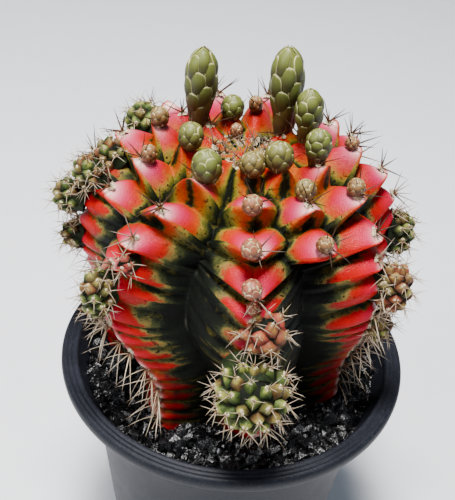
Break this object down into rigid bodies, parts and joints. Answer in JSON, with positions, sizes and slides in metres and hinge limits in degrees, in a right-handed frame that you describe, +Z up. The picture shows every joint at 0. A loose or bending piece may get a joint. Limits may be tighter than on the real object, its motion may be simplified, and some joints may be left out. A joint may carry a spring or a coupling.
{
  "type": "potted cactus",
  "caption": "Round ribbed chin cactus with red and green variegation, flower buds, offsets and spiny areoles, in a round nursery pot topped with black lava grit.",
  "frame": {"origin": "middle of the pot's base, on the surface it stands on", "axes": "+Z up through the pot; -Y is the front of the plant"},
  "size_m": [0.1081, 0.1102, 0.1829],
  "materials": {
    "pot_plastic": "satin",
    "growing_mix": "matte",
    "lava_grit": "satin",
    "cactus_skin": "satin",
    "bud_scales": "satin",
    "offset_skin": "satin",
    "areole_wool": "matte"
  },
  "bodies": {
    "root": {"areole_back": "areole_wool", "areole_back_left": "areole_wool", "areole_back_right_1": "areole_wool", "areole_back_right_2": "areole_wool", "areole_front": "areole_wool", "areole_front_left_1": "areole_wool", "areole_front_left_2": "areole_wool", "areole_front_left_3": "areole_wool", "areole_front_left_4": "areole_wool", "areole_front_left_5": "areole_wool", "areole_front_left_6": "areole_wool", "areole_left_1": "areole_wool", "areole_left_back": "areole_wool", "areole_left_short": "areole_wool", "areole_right_1": "areole_wool", "areole_right_2": "areole_wool", "areole_right_3": "areole_wool", "areole_right_4": "areole_wool", "areole_right_5": "areole_wool", "areole_right_back_1": "areole_wool", "areole_right_back_2": "areole_wool", "bud_back": "bud_scales", "bud_back_left": "bud_scales", "bud_front_1": "bud_scales", "bud_front_2": "bud_scales", "bud_front_3": "bud_scales", "bud_front_4": "bud_scales", "bud_front_left": "bud_scales", "bud_front_right_1": "bud_scales", "bud_front_right_2": "bud_scales", "bud_front_right_3": "bud_scales", "bud_left_1": "bud_scales", "bud_left_2": "bud_scales", "bud_left_back": "bud_scales", "bud_right": "bud_scales", "bud_right_2": "bud_scales", "bud_right_back": "bud_scales", "bud_tall_left": "bud_scales", "bud_tall_right": "bud_scales", "cactus_stem": "cactus_skin", "grit_topping": "lava_grit", "growing_mix": "growing_mix", "offset_back_left": "offset_skin", "offset_front_ball": "offset_skin", "offset_front_upper": "offset_skin", "offset_left_edge_1": "offset_skin", "offset_left_edge_2": "offset_skin", "offset_left_edge_3": "offset_skin", "offset_left_edge_4": "offset_skin", "offset_left_knob": "offset_skin", "offset_left_lower": "offset_skin", "offset_right_edge": "offset_skin", "offset_right_lower": "offset_skin", "offset_right_middle": "offset_skin", "pot": "pot_plastic"}
  },
  "joints": []
}
